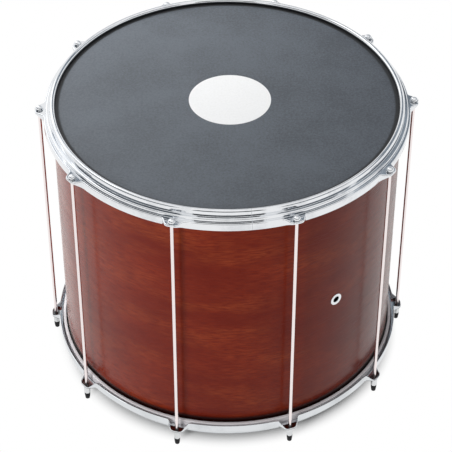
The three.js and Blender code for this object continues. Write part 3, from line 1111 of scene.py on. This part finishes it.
@dataclass
class TensionRods:
    """The ten rods with mushroom heads, and the washers under the heads."""

    workshop: Workshop
    bars: Material
    chrome: Material
    radius: float = 0.003
    end_height: float = 0.0228
    seat_height: float = 0.5257
    point: float = 0.0008
    head_radius: float = 0.0064
    head_rim: float = 0.001
    head_height: float = 0.0052
    washer_height: float = 0.5239
    washer_inner: float = 0.0035
    washer_outer: float = 0.0076
    washer_thickness: float = 0.0015
    tuck: float = 0.0003

    def build(self) -> None:
        """Builds the rods and the washers."""
        crown = self.head_height - self.head_rim
        dome = [
            (self.head_radius * math.cos(a), self.seat_height + self.head_rim + crown * math.sin(a))
            for a in np.radians(np.linspace(0, 90, 10))
        ]
        tuck = self.tuck
        rod = [
            (0.0, self.end_height), (self.radius - self.point, self.end_height),
            (self.radius, self.end_height + self.point), (self.radius, 0.1), (self.radius, 0.3),
            (self.radius, self.seat_height - tuck), (self.radius + tuck, self.seat_height),
            (self.head_radius - tuck, self.seat_height), (self.head_radius, self.seat_height + tuck),
            *dome[:-1], (0.0, self.seat_height + self.head_height),
        ]
        inner, outer, high = self.washer_inner, self.washer_outer, self.washer_thickness
        washer = [
            (inner, 0.0), (outer - tuck, 0.0), (outer, tuck), (outer, high - tuck), (outer - tuck, high),
            (inner + tuck, high), (inner, high - tuck), (inner, 0.0),
        ]
        for name, profile, dress, height, facets, node in (
            ("rods", rod, self.bars, 0.0, 40, "tension_rod"),
            ("washers", washer, self.chrome, self.washer_height, 48, "rod_washer"),
        ):
            mesh = self.workshop.turn(profile, dress, facets, (self.workshop.ringing, ring(height)))
            piece(name, mesh, Body.UPPER.value, [f"{node}_{n}" for n in ROD_NUMBERS])


@dataclass
class Feet:
    """The ten foot nuts with their rubber feet, each pair turning by itself."""

    workshop: Workshop
    chrome: Material
    rubber: Material
    across_flats: float = 0.010
    corner: float = 0.00577
    seat: float = 0.0148
    nut_height: float = 0.0185
    floor: float = 0.0015
    bore: float = 0.0036
    spigot: float = 0.0032
    spigot_length: float = 0.006
    foot_height: float = 0.0145
    socket: float = 0.0036
    socket_floor: float = 0.0084
    foot_top: float = 0.0053
    foot_waist: float = 0.0049
    foot_tread: float = 0.0036
    tread_round: float = 0.0012
    brow_round: float = 0.0007
    bevel: float = 0.0004
    corner_cut: float = 0.0002
    mouth: float = 0.0005
    chamfer: float = math.radians(34)

    def _nut_profile(self) -> Profile:
        """Draws the nut's round blank.

        Returns:
            Its points, with heights from the foot's face upwards.
        """
        top = self.nut_height
        edge = self.across_flats / 2 - self.corner_cut
        drop = (self.corner - edge) * math.tan(self.chamfer)
        return [
            (0.0, -self.spigot_length), (self.spigot - self.bevel, -self.spigot_length),
            (self.spigot, -self.spigot_length + self.bevel), (self.spigot, 0.0), (edge, 0.0),
            (self.corner, drop), (self.corner, top - drop), (edge, top), (self.bore + self.mouth, top),
            (self.bore, top - self.mouth), (self.bore, self.floor), (0.0, self.floor),
        ]

    def _foot_profile(self) -> Profile:
        """Draws the rubber foot.

        Returns:
            Its points, from the floor upwards.
        """
        r = self.brow_round
        tread = arc((self.foot_tread - 0.0006, self.tread_round), self.tread_round, -90, -25, 5)
        brow = arc((self.foot_top - r, self.foot_height - r), r, 8, 90, 5)
        return [
            (0.0, 0.0), (0.002, 0.0), *tread, (self.foot_waist, self.foot_height / 2), *brow,
            (self.socket, self.foot_height), (self.socket, self.socket_floor), (0.0, self.socket_floor),
        ]

    def build(self) -> None:
        """Builds a nut and a foot for each of the ten bodies."""
        w = self.workshop
        hexagon = {"Across_flats": self.across_flats, "Length": PRISM_LENGTH}
        for number, azimuth in zip(ROD_NUMBERS, ROD_AZIMUTHS):
            raised, standing = ((w.ringing, ring(h, 1, azimuth)) for h in (self.seat, 0.0))
            nut = w.turn(self._nut_profile(), self.chrome, 48, (w.hexing, hexagon), raised)
            foot = w.turn(self._foot_profile(), self.rubber, 40, standing)
            body = f"foot_{number}"
            piece(f"nut_{number}", nut, body, [f"foot_nut_{number}"], 25.0)
            piece(f"foot_tip_{number}", foot, body, [f"rubber_foot_{number}"])


@dataclass
class DarkScreen:
    """A curved dark screen round the set, which only the chrome and the lacquer mirror."""

    name: str
    azimuths: Pair
    heights: Pair
    shade: float
    distance: float = 3.6
    panels: int = 16

    def _tint(self, share: float) -> Colour:
        """The felt's cool grey, at a share of its shade."""
        level = min(self.shade * share, 0.87)
        return 0.87 * level, level, 1.15 * level

    def build(self) -> None:
        """Stands the screen up, facing the drum's axis."""
        paint = Paint(f"{self.name}_felt")
        drape = paint.noise(paint.join(paint.azimuth(), 0.0, paint.times(paint.z, 1.6)), 1.0, 3)
        folds = paint.remap(drape, (0.35, 0.65), (0.0, 1.0))
        tone = paint.blend(folds, self._tint(0.45), self._tint(1.7))
        felt = paint.finish(Base_Color=tone, Roughness=1.0, Specular_IOR_Level=0.0)
        azimuths = np.radians(np.linspace(*self.azimuths, self.panels + 1))
        points = [azimuth_point(a, self.distance, h) for a in azimuths for h in self.heights]
        faces = [(2 * i, 2 * i + 2, 2 * i + 3, 2 * i + 1) for i in range(self.panels)]
        mesh = bpy.data.meshes.new(self.name)
        mesh.from_pydata(points, [], faces)
        mesh.materials.append(felt)
        screen = put(self.name, mesh)
        screen.visible_camera = False
        screen.visible_diffuse = False
        screen.visible_shadow = False


@dataclass
class Lamp:
    """A soft lamp that faces a point of the drum."""

    name: str
    place: Triple
    size: float
    power: float
    aim: Triple = (0.0, 0.0, 0.3)
    mirrored: bool = True

    def build(self) -> None:
        """Hangs the lamp."""
        light = bpy.data.lights.new(self.name, "AREA")
        light.shape = "SQUARE"
        light.size = self.size
        light.energy = self.power
        lamp = put(self.name, light)
        lamp.location = self.place
        lamp.visible_glossy = self.mirrored
        lamp.visible_camera = False
        lamp.rotation_euler = (Vector(self.aim) - Vector(self.place)).to_track_quat("-Z", "Y").to_euler()


@dataclass
class Studio:
    """White floor and surroundings, soft lamps, dark screens and the camera."""

    ambient: float = 0.38
    floor_half: float = 14.0
    focal_px: float = 1803.5
    frame_px: float = 452.0
    distance: float = 3.3296
    elevation: float = 40.898
    azimuth: float = -2.1091
    aim: Triple = (-0.0019, 0.0, 0.2441)
    lamps: tuple[Lamp, ...] = (
        Lamp("side", (-1.6, 1.4, 2.19), 2.2, 13.5),
        Lamp("rear", (-1.0, 1.5, 1.6), 1.1, 22.0, mirrored=False),
        Lamp("back", (-0.1, 1.25, 1.25), 0.6, 11.0, mirrored=False),
        Lamp("key", (-1.3, -1.75, 1.15), 0.7, 23.5, mirrored=False),
    )
    screens: tuple[DarkScreen, ...] = (
        DarkScreen("screen_front", (-22, 20), (1.8, 4.7), 0.06),
        DarkScreen("screen_far_left", (-154, -126), (2.3, 4.2), 0.7),
        DarkScreen("screen_left", (-122, -34), (2.2, 5.2), 0.24),
        DarkScreen("screen_right", (32, 76), (2.2, 4.6), 0.3),
        DarkScreen("screen_far_right", (82, 168), (2.2, 4.2), 0.5),
        DarkScreen("screen_back_right", (169, 178), (2.4, 4.4), 0.55),
        DarkScreen("screen_back", (178.5, 185), (2.4, 4.4), 0.9),
        DarkScreen("screen_back_left", (185.2, 204), (3.4, 4.4), 0.9),
    )

    def _world(self) -> None:
        """Lights everything evenly, and shows as plain white."""
        world = bpy.data.worlds.new("studio")
        world.use_nodes = True
        graph = Graph(world.node_tree)
        world.node_tree.nodes.clear()
        strength = graph.remap(graph.seen(), (0.0, 1.0), (self.ambient, 1.0), soft=False)
        sky = graph.add("ShaderNodeBackground", {"Color": WHITE, "Strength": strength})
        graph.add("ShaderNodeOutputWorld", {0: sky.outputs[0]})
        bpy.context.scene.world = world

    def _floor(self) -> None:
        """Lays the floor."""
        h = self.floor_half
        mesh = bpy.data.meshes.new("floor")
        mesh.from_pydata([(-h, -h, 0), (h, -h, 0), (h, h, 0), (-h, h, 0)], [], [(0, 1, 2, 3)])
        mesh.materials.append(StudioFloor().material())
        put("floor", mesh)

    def _camera(self) -> None:
        """Sets the camera at the photograph's viewing angle."""
        a, e = math.radians(self.azimuth), math.radians(self.elevation)
        back = Vector((math.sin(a) * math.cos(e), -math.cos(a) * math.cos(e), math.sin(e)))
        data = bpy.data.cameras.new("camera")
        data.sensor_width = 36.0
        data.lens = self.focal_px / self.frame_px * data.sensor_width
        data.clip_start, data.clip_end = 0.05, 60.0
        camera = put("camera", data)
        camera.location = Vector(self.aim) + back * self.distance
        camera.rotation_mode = "QUATERNION"
        camera.rotation_quaternion = (-back).to_track_quat("-Z", "Y")
        bpy.context.scene.camera = camera

    def build(self) -> None:
        """Builds the studio."""
        bpy.context.scene.view_settings.view_transform = "Standard"
        self._world()
        self._floor()
        self._camera()
        for thing in (*self.lamps, *self.screens):
            thing.build()


def main() -> None:
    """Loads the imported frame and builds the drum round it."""
    logging.basicConfig(level=logging.INFO, format="%(message)s")
    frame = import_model()
    Studio().build()
    workshop = Workshop()
    chrome = Chrome("chrome").material()
    wood = LacqueredWood().material()
    Shell(workshop, wood, chrome).build()
    for end in End:
        disc = (0.005, 0.002) if end is End.UPPER else None
        leather = SyntheticLeather(f"{end.value}_leather", disc_centre=disc).material()
        Skin(workshop, end, leather).build()
    aluminium = BrushedAluminium().material()
    for end in End:
        FleshHoop(workshop, end, aluminium).build()
    upper_plate = Chrome("upper_rim_chrome", weld_azimuth=0.091)
    # The lower rim's chrome is a darker copy of the upper rim's: a painted shade, standing in for the shaded
    # floor that its skirt mirrors.
    shaded_lower_plate = Chrome(
        "lower_rim_chrome", bright=(0.7, 0.72, 0.74), dull=(0.6, 0.62, 0.64), weld_azimuth=2.4,
        # The grey on the ear plates is a painted shade.
        grime=(0.2, 0.2, 0.2), grime_top=SHELL_BOTTOM + 0.0113,
    )
    Rim(workshop, End.UPPER, upper_plate.material()).build()
    Rim(workshop, End.LOWER, shaded_lower_plate.material()).build()
    # The rods' warm pink shank is a painted reflection.
    bars = Chrome("rod_chrome", shank=(0.88, 0.80, 0.79)).material()
    TensionRods(workshop, bars, chrome).build()
    frosted = Chrome("nut_chrome", roughness=(0.16, 0.3), bright=(0.7, 0.71, 0.72), dull=(0.56, 0.58, 0.58))
    Feet(workshop, frosted.material(), Rubber().material()).build()
    washer = frame["nodes"]["vent_washer"]
    washer.data.materials.clear()
    washer.data.materials.append(chrome)


if __name__ == "__main__":
    main()
